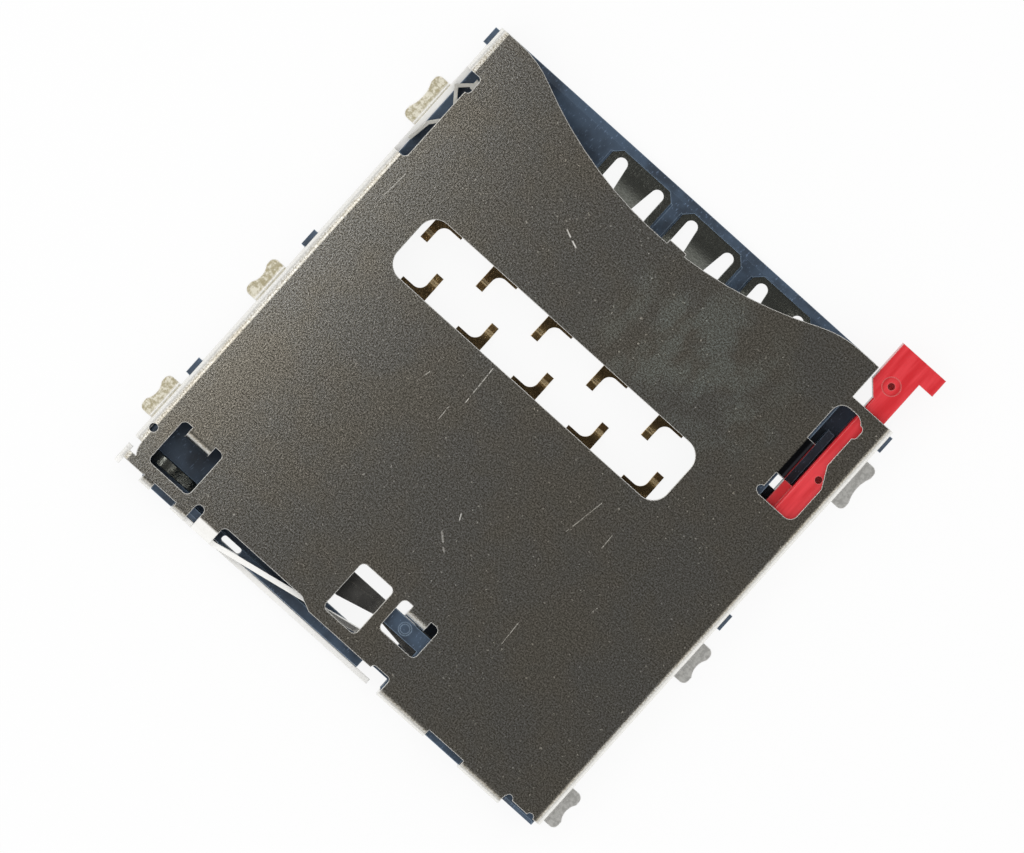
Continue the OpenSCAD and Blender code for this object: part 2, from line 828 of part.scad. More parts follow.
// Folded top and side walls of the cover
module cover_channel() {
    along_y(from_mouth(0), from_back(fold_r))
        difference() {
            fold_section(body_w, body_h, fold_r);
            fold_section(body_w - 2 * sheet_t, roof_z, fold_in);
            translate([-body_w, -past])
                square([2 * body_w, wall_lift + past]);
        }
}

// Back wall from x0 to x1, folded down from the top
module back_fold(x0, x1) {
    along_x(min(x0, x1), max(x0, x1))
        translate([from_back(0), body_h])
            fold_down(skin, body_h - strip_low, fold_r);
}

module back_folds() {
    for (fold = left_folds)
        back_fold(from_left(fold[0]), from_left(fold[1]));
    back_fold(from_left(bay_end), from_right(middle_fold_end));
    back_fold(from_right(right_fold[0]), from_right(right_fold[1]));
}

// Spring arm cut from the back strip and set inward
module back_arm() {
    mid = sheet_t / 2;
    block(strip_from, from_back(0), strip_to, from_back(sheet_t), strip_low, strip_high);
    block(strip_from, from_back(0), arm_x, from_back(sheet_t), strip_low, arm_high);
    translate([0, 0, arm_low])
        linear_extrude(arm_high - arm_low)
            strip([[strip_from, from_back(mid)], [arm_x, from_back(mid)],
                   [arm_x - arm_len * cos(arm_angle), from_back(mid) - arm_len * sin(arm_angle)]],
                  sheet_t);
}

// Concave mouth edge, with its ends blended into the straight edge
module mouth_cut() {
    r = (pow(mouth_w / 2, 2) + pow(mouth_sag, 2)) / (2 * mouth_sag);
    reach = sqrt(pow(r + mouth_blend, 2) - pow(r + mouth_blend - mouth_sag, 2));
    share = r / (r + mouth_blend);
    translate([window_x, from_mouth(0)]) {
        translate([0, mouth_sag - r])
            circle(r = r, $fn = 200);
        for (s = [-1, 1])
            difference() {
                polygon([[s * mouth_w / 2, -past], [s * reach, -past], [s * reach, mouth_blend],
                         [s * reach * share,
                          mouth_sag - r + share * (r + mouth_blend - mouth_sag)]]);
                translate([s * reach, mouth_blend])
                    circle(r = mouth_blend, $fn = 200);
            }
    }
}

// Stub left on the mouth edge where the sheet was cut from its carrier strip
module carrier_stub() {
    block(stub_x - stub_w / 2, from_mouth(mouth_sag - stub_out), stub_x + stub_w / 2,
          from_mouth(mouth_sag + stub_out), roof_z, body_h);
}

// Window over the push rod, narrower in its middle
module rod_window_plan() {
    front = rod_window_ends[0];
    rear = rod_window_ends[1];
    narrow_x = from_right(rod_window_sides[0]);
    bulge_x = from_right(rod_window_sides[1]);
    wide_x = from_right(rod_window_sides[2]);
    front_y = from_mouth(front + rod_window_r);
    rear_y = from_mouth(rear - rod_window_rear_r);
    bay_x = narrow_x + rod_window_r;
    span(rod_window_x - rod_window_r, from_mouth(front), bay_x, from_mouth(rear));
    span(rod_window_x, front_y, narrow_x, from_mouth(rear));
    for (x = [rod_window_x - rod_window_r, bay_x])
        translate([x, front_y])
            circle(r = rod_window_r);
    for (d = rod_bulge)
        translate([bulge_x + lobe_r, from_mouth(front + d)])
            circle(r = lobe_r);
    span(bulge_x, from_mouth(front + rod_bulge[0]), bay_x, from_mouth(front + rod_bulge[1]));
    span(wide_x, from_mouth(rod_widening[1]), bay_x, rear_y);
    span(wide_x + rod_window_rear_r, from_mouth(rod_widening[1]), bay_x, from_mouth(rear));
    translate([wide_x + rod_window_rear_r, rear_y])
        circle(r = rod_window_rear_r);
    polygon([[narrow_x, from_mouth(rod_widening[0])], [wide_x, from_mouth(rod_widening[1])],
             [bay_x, from_mouth(rod_widening[1])], [bay_x, from_mouth(rod_widening[0])]]);
    translate([rod_window_x, from_mouth(rear - rod_relief_back)])
        circle(r = lobe_r);
}

// Plain window, given by its distances from the side and back walls
module window_plan(spec, r) {
    translate([from_left(spec[0] + spec[2] / 2), from_back(spec[1] + spec[3] / 2)])
        round_rect(spec[2], spec[3], r);
}

// Edge of the back cut-out over the spring arm
module back_cut_plan() {
    root = left_folds[2][1];
    span(from_left(left_folds[1][1]), from_back(relief_slot[2]), from_left(left_folds[2][0]),
         from_back(-past));
    translate([from_left(relief_slot[0]), from_back(relief_slot[2])])
        circle(d = relief_slot[1]);
    translate([from_left(root + bay_corner_r), from_back(bay_deep - bay_corner_r)])
        circle(r = bay_corner_r);
    span(from_left(root), from_back(bay_deep - bay_corner_r), from_left(bay_step[0]),
         from_back(-past));
    span(from_left(root + bay_corner_r), from_back(bay_deep), from_left(bay_step[0]),
         from_back(-past));
    polygon([[from_left(bay_step[0] - skin), from_back(bay_deep)],
             [from_left(bay_step[0]), from_back(bay_deep)],
             [from_left(bay_step[1]), from_back(bay_shallow)],
             [from_left(bay_step[1]), from_back(-past)],
             [from_left(bay_step[0] - skin), from_back(-past)]]);
    span(from_left(bay_step[1] - skin), from_back(bay_shallow), from_left(bay_end), from_back(-past));
    translate([from_left(bay_notch[0]), from_back(bay_shallow)])
        round_rect(bay_notch[1], bay_notch[2], bay_notch_r);
}

// Corner cuts at the back of the cover
module back_corner_plan() {
    difference() {
        span(from_left(corner_mid), from_back(corner_mid), from_left(-past), from_back(-past));
        translate([from_left(corner_mid), from_back(corner_mid)])
            circle(r = corner_r);
    }
    span(from_right(notch_w), from_back(notch_d), from_right(-past), from_back(-past));
    for (d = notch_reliefs)
        translate([from_right(d), from_back(notch_d)])
            circle(d = relief_d);
}

// Wall tab on the round back corner, hung from a narrow neck
module corner_tab() {
    along_y(from_back(corner_neck[1]), from_back(corner_neck[0]))
        translate([from_left(0), body_h])
            fold_down(corner_mid - fold_r, body_h - corner_tab_low, fold_r);
    block(from_left(sheet_t), from_back(corner_tab_len), from_left(0), from_back(0),
          corner_tab_low, body_h - fold_r);
}

// Slot in the left fold, with a wider front end
module side_slot_plan() {
    mid = (slot_front + slot_rear) / 2;
    translate([from_left(slot_reach - past), from_mouth(mid)])
        round_rect(2 * past, slot_rear - slot_front, slot_r);
    translate([from_left(slot_lobe[0] - past), from_mouth(slot_front + slot_lobe[1] / 2)])
        round_rect(2 * past, slot_lobe[1], lobe_r);
}

module cover_cuts() {
    translate([0, 0, roof_z - skin])
        linear_extrude(past) {
            mouth_cut();
            rod_window_plan();
            translate([window_x, window_y])
                round_rect(window_w, window_d, window_r);
            for (spec = [window_1, window_2, window_3])
                window_plan(spec, tab_window_r);
            back_cut_plan();
        }
    block(from_right(rod_corner_w), from_mouth(-past), from_right(-past), from_mouth(rod_step),
          -past, body_h + past);
    translate([0, 0, -past])
        linear_extrude(body_h + 2 * past)
            back_corner_plan();
    translate([0, 0, slot_low])
        linear_extrude(body_h)
            side_slot_plan();
    translate([from_left(pilot_hole[0]), from_back(pilot_hole[1]), roof_z - skin - fold_r])
        cylinder(d = pilot_hole[2], h = body_h);
    for (y = bosses_left)
        boss_window(y);
    for (y = bosses_right)
        mirror([1, 0, 0])
            boss_window(y);
}

module boss_window(y) {
    block(from_left(sheet_t + skin / 2), y - boss_len / 2 - boss_gap, from_left(-past),
          y + boss_len / 2 + boss_gap, boss_low - boss_gap, boss_high + boss_gap);
}

// Tab folded down from the mouth side of a back window
module lanced_tab(spec) {
    root = from_back(spec[1] + spec[3]);
    mid = from_left(spec[0] + spec[2] / 2);
    along_x(mid - spec[4] / 2, mid + spec[4] / 2)
        translate([root + tab_run, body_h])
            fold_down(tab_run - fold_r + skin, tab_drop, fold_r);
}

// Tab folded down beside the push rod, into the gap beside the guide rib
module guide_tab() {
    along_y(from_mouth(guide_tab_front), from_mouth(lug_front))
        translate([guide_leg_x, body_h])
            mirror([1, 0])
                fold_down(rod_window_x + skin - guide_leg_x - guide_fold_r, body_h - guide_leg_z,
                          guide_fold_r);
}

// Solder foot turned out from the +X wall: two round lobes with a waist between them
module solder_foot(y, length) {
    bend_z = sheet_t + foot_bend;
    toe = from_left(-foot_reach);
    half_waist = length / 2 - 2 * foot_corner + foot_waist / 2;
    waist_r = (pow(half_waist, 2) + pow(foot_waist, 2)) / (2 * foot_waist);
    difference() {
        along_y(y - length / 2, y + length / 2)
            translate([from_left(sheet_t), 0])
                rotate([0, 0, 180])
                    fold_down(foot_reach - foot_bend, bend_z + wall_lift, bend_z);
        translate([toe + waist_r - foot_waist, y, -past])
            cylinder(r = waist_r, h = 2 * past);
        for (s = [-1, 1])
            translate([toe - foot_corner, y + s * (length / 2 - foot_corner), -past])
                linear_extrude(2 * past)
                    difference() {
                        span(0, 0, past, s * past);
                        circle(r = foot_corner);
                    }
    }
}

// Stamped and folded cover
module cover() {
    color(steel) {
        difference() {
            union() {
                cover_channel();
                back_folds();
            }
            cover_cuts();
        }
        back_arm();
        lanced_tab(window_2);
        lanced_tab(window_3);
        guide_tab();
        corner_tab();
        carrier_stub();
        for (foot = feet_left)
            solder_foot(foot[0], foot[1]);
        for (foot = feet_right)
            mirror([1, 0, 0])
                solder_foot(foot[0], foot[1]);
    }
}

module front_contact(i) {
    color(bronze)
        at_front(i)
            contact(front_offsets(i));
}

module rear_contact(i) {
    color(bronze)
        at_rear(i)
            contact(rear_offsets(i));
}

housing();
cover();
front_contact(0);  // front_contact_1
front_contact(1);  // front_contact_2
front_contact(2);  // front_contact_3
rear_contact(0);  // rear_contact_1
rear_contact(1);  // rear_contact_2
rear_contact(2);  // rear_contact_3
side_switch_spring();
end_switch_leaf();
push_rod();
eject_lever();
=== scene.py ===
"""Looks for the card socket.

Finishes for the stamped cover, the moulding, the contacts and the ejector, in a soft white studio.
"""

import json

import bpy
import numpy as np
from mathutils import Matrix, Vector


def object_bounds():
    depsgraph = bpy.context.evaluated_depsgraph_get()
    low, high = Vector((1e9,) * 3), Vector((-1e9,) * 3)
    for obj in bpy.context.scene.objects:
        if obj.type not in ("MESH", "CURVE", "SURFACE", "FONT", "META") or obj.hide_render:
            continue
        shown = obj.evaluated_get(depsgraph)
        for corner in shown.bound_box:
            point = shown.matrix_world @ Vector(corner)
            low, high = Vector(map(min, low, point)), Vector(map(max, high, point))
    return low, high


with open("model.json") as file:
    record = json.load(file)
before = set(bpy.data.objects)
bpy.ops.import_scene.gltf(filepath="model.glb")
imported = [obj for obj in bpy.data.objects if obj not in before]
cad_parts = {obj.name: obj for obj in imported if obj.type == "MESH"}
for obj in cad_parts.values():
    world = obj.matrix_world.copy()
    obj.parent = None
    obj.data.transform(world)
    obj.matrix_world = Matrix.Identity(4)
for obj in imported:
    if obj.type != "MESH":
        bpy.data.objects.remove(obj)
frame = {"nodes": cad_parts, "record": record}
cad_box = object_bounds()

MM = 0.001
WHITE = (1.0, 1.0, 1.0, 1.0)


class Wire:
    """A shader socket in plain arithmetic: each operator on values adds one Math node."""

    def __init__(self, sheet, socket):
        self.sheet = sheet
        self.socket = socket

    def math(self, operation, first, second=0.0, clamp=False):
        settings = {"operation": operation, "use_clamp": clamp}
        return self.sheet.node("ShaderNodeMath", settings, {0: first, 1: second})

    def __add__(self, other):
        return self.math("ADD", self, other)

    def __radd__(self, other):
        return self.math("ADD", other, self)

    def __sub__(self, other):
        return self.math("SUBTRACT", self, other)

    def __rsub__(self, other):
        return self.math("SUBTRACT", other, self)

    def __mul__(self, other):
        return self.math("MULTIPLY", self, other)

    def __truediv__(self, other):
        return self.math("DIVIDE", self, other)

    def __pow__(self, other):
        return self.math("POWER", self, other)

    def __abs__(self):
        return self.math("ABSOLUTE", self)

    def clipped(self):
        return self.math("ADD", self, 0.0, clamp=True)

    def at_least(self, other):
        return self.math("MAXIMUM", self, other)


class Sheet:
    """The node tree of one finish, of the floor or of the sky."""

    # Share of the face's own normal that the broken edge's keeps: at the first no painted edge highlight, at the
    # second a full one.
    RUBBED_FROM, RUBBED_TO = 0.99, 0.88
    EDGE_SAMPLES = 6

    def __init__(self, tree):
        self.tree = tree
        tree.nodes.clear()

    def node(self, kind, settings=None, inputs=None, output=0):
        """Adds a node: its settings first, then the values or wires of its sockets; gives back one output."""
        made = self.tree.nodes.new(kind)
        for name, value in (settings or {}).items():
            if name == "stops":
                set_stops(made.color_ramp, value)
            else:
                setattr(made, name, value)
        for name, value in (inputs or {}).items():
            if isinstance(value, Wire):
                self.tree.links.new(value.socket, made.inputs[name])
            else:
                made.inputs[name].default_value = value
        if not made.outputs:
            return made
        return Wire(self, made.outputs[output])

    def place_mm(self):
        """The point on the piece, in millimetres of the part's own frame."""
        place = self.node("ShaderNodeTexCoord", output="Object")
        return self.node("ShaderNodeVectorMath", {"operation": "SCALE"}, {"Vector": place, "Scale": 1 / MM})

    def axes(self, vector):
        """The three values of a vector."""
        parts = self.node("ShaderNodeSeparateXYZ", None, {"Vector": vector}).socket.node
        return [Wire(self, out) for out in parts.outputs]

    def stretched(self, vector, scale):
        """The vector with each axis scaled, for grain that runs one way."""
        return self.node("ShaderNodeVectorMath", {"operation": "MULTIPLY"}, {0: vector, 1: scale})

    def noise(self, vector, per_mm, detail=3.0, rough=0.6):
        inputs = {"Vector": vector, "Scale": per_mm, "Detail": detail, "Roughness": rough}
        return self.node("ShaderNodeTexNoise", None, inputs)

    def between(self, value, low, high):
        """0 below low, 1 above high, and a smooth step between them."""
        settings = {"interpolation_type": "SMOOTHSTEP"}
        return self.node("ShaderNodeMapRange", settings, {"Value": value, "From Min": low, "From Max": high})

    def strip(self, value, rise, fall):
        """1 on a strip that starts over the pair of values in rise and ends over the pair in fall."""
        return self.between(value, *rise) * (1.0 - self.between(value, *fall))

    def mixed(self, share, first, second):
        """The first colour at share 0 and the second at share 1."""
        inputs = {"Factor": share, 6: first, 7: second}
        return self.node("ShaderNodeMix", {"data_type": "RGBA"}, inputs, output=2)

    def bump(self, height, depth, strength, normal):
        inputs = {"Height": height, "Distance": depth * MM, "Strength": strength, "Normal": normal}
        return self.node("ShaderNodeBump", None, inputs)

    def face_normal(self):
        return self.node("ShaderNodeNewGeometry", output="Normal")

    def edge_normal(self, radius):
        """The normal of the same surface with its sharp edges broken to this radius."""
        return self.node("ShaderNodeBevel", {"samples": self.EDGE_SAMPLES}, {"Radius": radius * MM})

    def edge_highlight(self, radius):
        """1 along sharp outer edges and 0 away from them: where the broken edge's normal leaves the face's own, for
        painted edge highlights.
        """
        inputs = {0: self.face_normal(), 1: self.edge_normal(radius)}
        kept = self.node("ShaderNodeVectorMath", {"operation": "DOT_PRODUCT"}, inputs, output=1)
        return self.between(kept, self.RUBBED_FROM, self.RUBBED_TO)

    def surface(self, shader):
        self.node("ShaderNodeOutputMaterial", None, {"Surface": shader})

    def solid(self, inputs):
        """Ends the finish of a solid with a Principled shader of these inputs."""
        self.surface(self.node("ShaderNodeBsdfPrincipled", None, inputs))


def set_stops(ramp, stops):
    """Gives a colour ramp its stops, each a place and a colour."""
    while len(ramp.elements) < len(stops):
        ramp.elements.new(1.0)
    for element, (place, colour) in zip(ramp.elements, stops):
        element.position = place
        element.color = colour


def srgb(red, green, blue):
    """A colour as it looks on screen, 0 to 255, in the linear values that a shader takes."""
    seen = np.array([red, green, blue]) / 255
    linear = np.where(seen <= 0.04045, seen / 12.92, ((seen + 0.055) / 1.055) ** 2.4)
    return (*linear.tolist(), 1.0)


def new_finish(name):
    material = bpy.data.materials.new(name)
    material.use_nodes = True
    return material, Sheet(material.node_tree)


# Marks that handling left on the cover's top: both ends in mm, half width in mm, strength.
SCRATCHES = [
    ((2.69, -4.95), (2.13, -4.73), 0.026, 1.0),
    ((1.62, -0.82), (1.56, 0.33), 0.014, 0.8),
    ((1.82, 0.73), (1.80, 1.19), 0.012, 0.6),
    ((2.83, 0.37), (2.91, 0.75), 0.014, 0.8),
    ((6.92, -2.30), (6.86, -3.30), 0.012, 0.6),
    ((-0.36, 2.65), (-0.43, 2.79), 0.020, 0.8),
    ((-0.32, 3.37), (-0.68, 3.70), 0.040, 0.35),
    ((-2.98, -0.10), (-2.78, 1.09), 0.014, 0.5),
    ((-3.79, 0.80), (-3.77, 0.38), 0.014, 0.5),
    ((-3.47, 3.83), (-3.51, 4.51), 0.014, 0.6),
    ((-4.78, 2.10), (-4.75, 2.29), 0.016, 0.8),
]
SCRATCH_TAPER = 0.3
SCRATCH_CORE = 0.3

# Places on the cover in mm, each a pair over which a mask goes from 0 to 1.
SCRATCHED_Z = (1.40, 1.45)
TOP_Z = (1.44, 1.49)
FEET_X, FEET_END_Z = (7.58, 7.68), (0.16, 0.30)
SIDE_RIM_X, BACK_RIM_Y = (7.20, 7.25), (7.05, 7.10)
RIM_START_Z, RIM_END_Z = (0.40, 0.50), (1.28, 1.34)
TAB_START_X, TAB_END_X = (-6.20, -6.17), (-5.95, -5.90)
TAB_START_Y, TAB_END_Y = (-5.20, -5.12), (-3.84, -3.76)
ARM_START_X, ARM_END_X, ARM_Y = (3.96, 4.04), (4.86, 4.94), (7.38, 7.45)
LEFT_HALF_X = (-1.0, 1.0)

# The haze near the mouth: an oval, and the squared share of it over which it fades.
HAZE_MIDDLE_MM = (-2.2, -4.6)
HAZE_HALF_MM = (3.4, 2.6)
HAZE_FADE = (0.1, 1.2)

# A face counts as level by the height of its normal.
LEVEL = (0.8, 0.9)

STEEL_WARM, STEEL_COOL = srgb(230, 222, 207), srgb(224, 222, 216)
STEEL_WALL_LIT, STEEL_HAZE = srgb(248, 247, 243), srgb(210, 225, 219)
STEEL_GRAIN, STEEL_PIT = srgb(154, 147, 130), srgb(70, 66, 60)
STEEL_TAB_SHADE, STEEL_BARE_AND_HIGHLIGHT = srgb(48, 48, 52), srgb(254, 253, 250)
SOLDER_LIT_LEFT = srgb(240, 235, 218), srgb(184, 174, 142)
SOLDER_SHADED_RIGHT = srgb(202, 201, 197), srgb(176, 175, 171)


def scratch_mask(sheet, x, y, start, end, half_width):
    """1 on the line between two points and 0 away from it: the distance to the line, with the overrun at its ends."""
    run = Vector(end) - Vector(start)
    along = run.normalized()
    middle = (Vector(start) + Vector(end)) / 2
    right, up = x - middle.x, y - middle.y
    across = abs(right * -along.y + up * along.x)
    beyond = (abs(right * along.x + up * along.y) - run.length / 2).at_least(0.0)
    return 1.0 - sheet.between(across + beyond * SCRATCH_TAPER, half_width * SCRATCH_CORE, half_width)


def scratches(sheet, place, x, y, z):
    """All the scratches, broken into dashes, on the top face alone."""
    marks = 0.0
    for start, end, half_width, strength in SCRATCHES:
        marks = marks + scratch_mask(sheet, x, y, start, end, half_width) * strength
    dashes = sheet.between(sheet.noise(place, 7.0, 2.0), 0.38, 0.52)
    return (marks * dashes * sheet.between(z, *SCRATCHED_Z)).clipped()


def mouth_haze(sheet, place, x, y):
    """A cloudy film inside an oval near the mouth."""
    cloud = sheet.between(sheet.noise(sheet.stretched(place, (1.0, 0.6, 1.0)), 1.5, 4.0), 0.38, 0.62)
    right = (x - HAZE_MIDDLE_MM[0]) / HAZE_HALF_MM[0]
    up = (y - HAZE_MIDDLE_MM[1]) / HAZE_HALF_MM[1]
    return (1.0 - sheet.between(right * right + up * up, *HAZE_FADE)) * cloud


def sheared_edge_highlight(sheet, x, y, z):
    """1 on the level cut edges of the side and back walls, and 0 elsewhere: where a near-white painted highlight
    goes, on a rougher cut face.
    """
    rim = sheet.between(abs(x), *SIDE_RIM_X).at_least(sheet.between(y, *BACK_RIM_Y))
    level = sheet.axes(sheet.face_normal())[2]
    return rim * sheet.between(level, *LEVEL) * sheet.strip(z, RIM_START_Z, RIM_END_Z)


def guide_tab_shade(sheet, x, y):
    """1 on the tab folded down beside the push rod, short of its outer edge, and 0 elsewhere: where painted shade
    darkens the tab in its recess.
    """
    return sheet.strip(x, TAB_START_X, TAB_END_X) * sheet.strip(y, TAB_START_Y, TAB_END_Y)


def arm_root_highlight(sheet, x, y):
    """1 on the bend where the back spring arm leaves the plate, and 0 elsewhere: a painted highlight of that bend."""
    return sheet.strip(x, ARM_START_X, ARM_END_X) * sheet.between(y, *ARM_Y)


def solder_tone(sheet, place, x):
    """Frosted tin, warmer on the feet of the left wall than on those of the right, and painted lighter there for the
    light from the left.
    """
    frost = sheet.between(sheet.noise(place, 9.0, 3.0, 0.7), 0.38, 0.62)
    left = sheet.mixed(frost, *SOLDER_LIT_LEFT)
    right = sheet.mixed(frost, *SOLDER_SHADED_RIGHT)
    return sheet.mixed(sheet.between(x, *LEFT_HALF_X), right, left)


def cover_steel():
    """Rolled stainless sheet: speckled grain, slow drifts of tint, haze, scratches and tinned feet; painted light on
    the walls and left feet, painted highlights on edges and the back arm's root, painted shade on the guide tab.
    """
    material, sheet = new_finish("rolled_stainless_sheet")
    place = sheet.place_mm()
    x, y, z = sheet.axes(place)
    top = sheet.between(z, *TOP_Z)
    grain = sheet.between(sheet.noise(place, 22.0, 2.0, 0.8), 0.34, 0.66) * (0.25 + top * 0.75)
    speck = sheet.between(sheet.noise(place, 15.0, 0.0), 0.79, 0.88)
    pit = sheet.between(sheet.noise(place, 3.4, 0.0), 0.88, 0.92)
    drift = sheet.between(sheet.noise(place, 0.45, 3.0), 0.36, 0.64)
    haze = mouth_haze(sheet, place, x, y)
    marks = scratches(sheet, place, x, y, z)
    tinned = sheet.between(abs(x), *FEET_X) * (1.0 - sheet.between(z, *FEET_END_Z))
    # Near white where scratches bare the metal, and painted highlights on the cut edges, the sharp edges and the back
    # arm's root.
    bare_and_highlight = sheared_edge_highlight(sheet, x, y, z).at_least(sheet.edge_highlight(0.04) * 0.8)
    bare_and_highlight = bare_and_highlight.at_least(marks * 0.55).at_least(arm_root_highlight(sheet, x, y) * 0.9)
    tone = sheet.mixed(drift, STEEL_WARM, STEEL_COOL)
    # Painted light: the walls below the top get a lighter steel colour than the top; their grain is also weakened
    # where it is made.
    tone = sheet.mixed(top, STEEL_WALL_LIT, tone)
    tone = sheet.mixed(haze * 0.6, tone, STEEL_HAZE)
    tone = sheet.mixed(grain * 0.95, tone, STEEL_GRAIN)
    tone = sheet.mixed(pit * 0.7, tone, STEEL_PIT)
    # Painted light: the tinned feet of the left wall are lighter than those of the right.
    tone = sheet.mixed(tinned, tone, solder_tone(sheet, place, x))
    # Painted shade: the guide tab in its recess beside the push rod is painted dark.
    tone = sheet.mixed(guide_tab_shade(sheet, x, y), tone, STEEL_TAB_SHADE)
    tone = sheet.mixed(bare_and_highlight, tone, STEEL_BARE_AND_HIGHLIGHT)
    rough = 0.17 + (1.0 - grain) * 0.09 + speck * 0.25 + haze * 0.065
    rough = rough + marks * 0.2 + tinned * 0.35 + bare_and_highlight * 0.5
    metal = 1.0 - (bare_and_highlight * 0.85).at_least(tinned * 0.8)
    height = grain * 0.7 + speck * 0.5 - marks * 0.6
    normal = sheet.bump(height, 0.004, 0.3, sheet.edge_normal(0.03))
    sheet.solid({"Base Color": tone, "Metallic": metal, "Roughness": rough.clipped(), "Normal": normal})
    return material


RESIN_DARK, RESIN_LIGHT = srgb(41, 54, 69), srgb(62, 81, 102)
RESIN_FIBRE, RESIN_EDGE_HIGHLIGHT = srgb(112, 134, 164), srgb(150, 172, 194)
RESIN_SHEEN = 0.5


def moulding_plastic():
    """Glass-filled blue-black resin: a spark-eroded skin, a few pale ends of fibre, slow changes of tone and painted
    highlights along sharp edges.
    """
    material, sheet = new_finish("blue_black_resin")
    place = sheet.place_mm()
    skin = sheet.noise(place, 26.0, 3.0, 0.7)
    fibre = sheet.noise(sheet.stretched(place, (9.0, 3.0, 5.0)), 2.4, 2.0)
    cloud = sheet.noise(place, 0.8)
    tone = sheet.mixed(sheet.between(cloud, 0.35, 0.65), RESIN_DARK, RESIN_LIGHT)
    tone = sheet.mixed(sheet.between(fibre, 0.60, 0.74) * 0.6, tone, RESIN_FIBRE)
    # Painted highlight: pale blue along the sharp edges.
    tone = sheet.mixed(sheet.edge_highlight(0.045) * 0.7, tone, RESIN_EDGE_HIGHLIGHT)
    rough = 0.36 + skin * 0.2
    normal = sheet.bump(skin, 0.010, 0.4, sheet.edge_normal(0.03))
    sheet.solid({
        "Base Color": tone, "Metallic": 0.0, "Roughness": rough, "Specular IOR Level": RESIN_SHEEN,
        "Normal": normal,
    })
    return material


# The slot that shows the tails: its middle, and places by their distance from it in mm.
SLOT_Y_MM = -1.92
CROWN_START, CROWN_END = (0.38, 0.43), (0.50, 0.55)
ROOT_REACH = (0.50, 0.75)
FLASH_END = (1.1, 1.5)

# Heights in mm over which the upper edges turn to a painted highlight.
HIGHLIGHT_EDGE_Z = (0.85, 0.95)

BRONZE_GOLD, BRONZE_BROWN = srgb(222, 188, 130), srgb(176, 142, 94)
BRONZE_GRAIN, BRONZE_ROOT_SHADE = srgb(124, 96, 60), srgb(104, 88, 66)
BRONZE_CROWN_HIGHLIGHT, BRONZE_EDGE_HIGHLIGHT = srgb(250, 226, 180), srgb(236, 234, 226)
NICKEL_LIGHT, NICKEL_DARK = srgb(158, 160, 152), srgb(112, 114, 106)


def contact_bronze():
    """Spring bronze: nickel grey on the beams, brown and gold flash on the tails, painted highlights on the upper
    edges and tail crowns, painted shade towards the tail roots.
    """
    material, sheet = new_finish("spring_bronze")
    place = sheet.place_mm()
    _, y, z = sheet.axes(place)
    reach = abs(y - SLOT_Y_MM)
    flashed = 1.0 - sheet.between(reach, *FLASH_END)
    crown_highlight = sheet.strip(reach, CROWN_START, CROWN_END)
    root_shade = sheet.between(reach, *ROOT_REACH) * flashed
    edge = sheet.between(z, *HIGHLIGHT_EDGE_Z)
    grain = sheet.between(sheet.noise(place, 12.0, 2.0, 0.7), 0.36, 0.64)
    rolled = sheet.noise(sheet.stretched(place, (16.0, 0.8, 2.0)), 1.0, 2.0)
    patch = sheet.noise(place, 1.6)
    tone = sheet.mixed(sheet.between(patch, 0.4, 0.62), BRONZE_GOLD, BRONZE_BROWN)
    tone = sheet.mixed(grain * 0.6, tone, BRONZE_GRAIN)
    # Painted shade: the tails darken towards their roots, beyond the crown.
    tone = sheet.mixed(root_shade * 0.7, tone, BRONZE_ROOT_SHADE)
    # Painted highlight: a pale band along the crown of each tail.
    tone = sheet.mixed(crown_highlight * 0.8, tone, BRONZE_CROWN_HIGHLIGHT)
    plain = sheet.mixed(grain * 0.5, NICKEL_LIGHT, NICKEL_DARK)
    tone = sheet.mixed(flashed, plain, tone)
    # Painted highlight: the upper edges turn near white.
    tone = sheet.mixed(edge, tone, BRONZE_EDGE_HIGHLIGHT)
    rough = 0.15 + grain * 0.14 + edge * 0.3 + crown_highlight * 0.22
    normal = sheet.bump(grain * 0.5 + rolled * 0.5, 0.008, 0.4, sheet.edge_normal(0.02))
    sheet.solid({"Base Color": tone, "Metallic": 1.0, "Roughness": rough, "Normal": normal})
    return material


RED_DEEP, RED_LIGHT, RED_EDGE_HIGHLIGHT = srgb(209, 25, 36), srgb(232, 60, 68), srgb(255, 168, 164)
RED_COAT, RED_COAT_ROUGH = 0.25, 0.12


def ejector_red():
    """Glossy red resin with faint flow lines along the rod and painted highlights that pale its edges."""
    material, sheet = new_finish("glossy_red_resin")
    place = sheet.place_mm()
    flow = sheet.noise(sheet.stretched(place, (3.0, 0.35, 3.0)), 1.0)
    skin = sheet.noise(place, 18.0)
    tone = sheet.mixed(sheet.between(flow, 0.35, 0.68), RED_DEEP, RED_LIGHT)
    # Painted highlight: pale pink along the sharp edges.
    tone = sheet.mixed(sheet.edge_highlight(0.04) * 0.45, tone, RED_EDGE_HIGHLIGHT)
    rough = 0.24 + skin * 0.14
    normal = sheet.bump(skin, 0.006, 0.3, sheet.edge_normal(0.05))
    sheet.solid({
        "Base Color": tone, "Metallic": 0.0, "Roughness": rough, "Specular IOR Level": RESIN_SHEEN,
        "Coat Roughness": RED_COAT_ROUGH, "Coat Weight": RED_COAT, "Normal": normal,
    })
    return material


LEVER_DARK, LEVER_RUBBED = srgb(126, 125, 122), srgb(162, 160, 155)


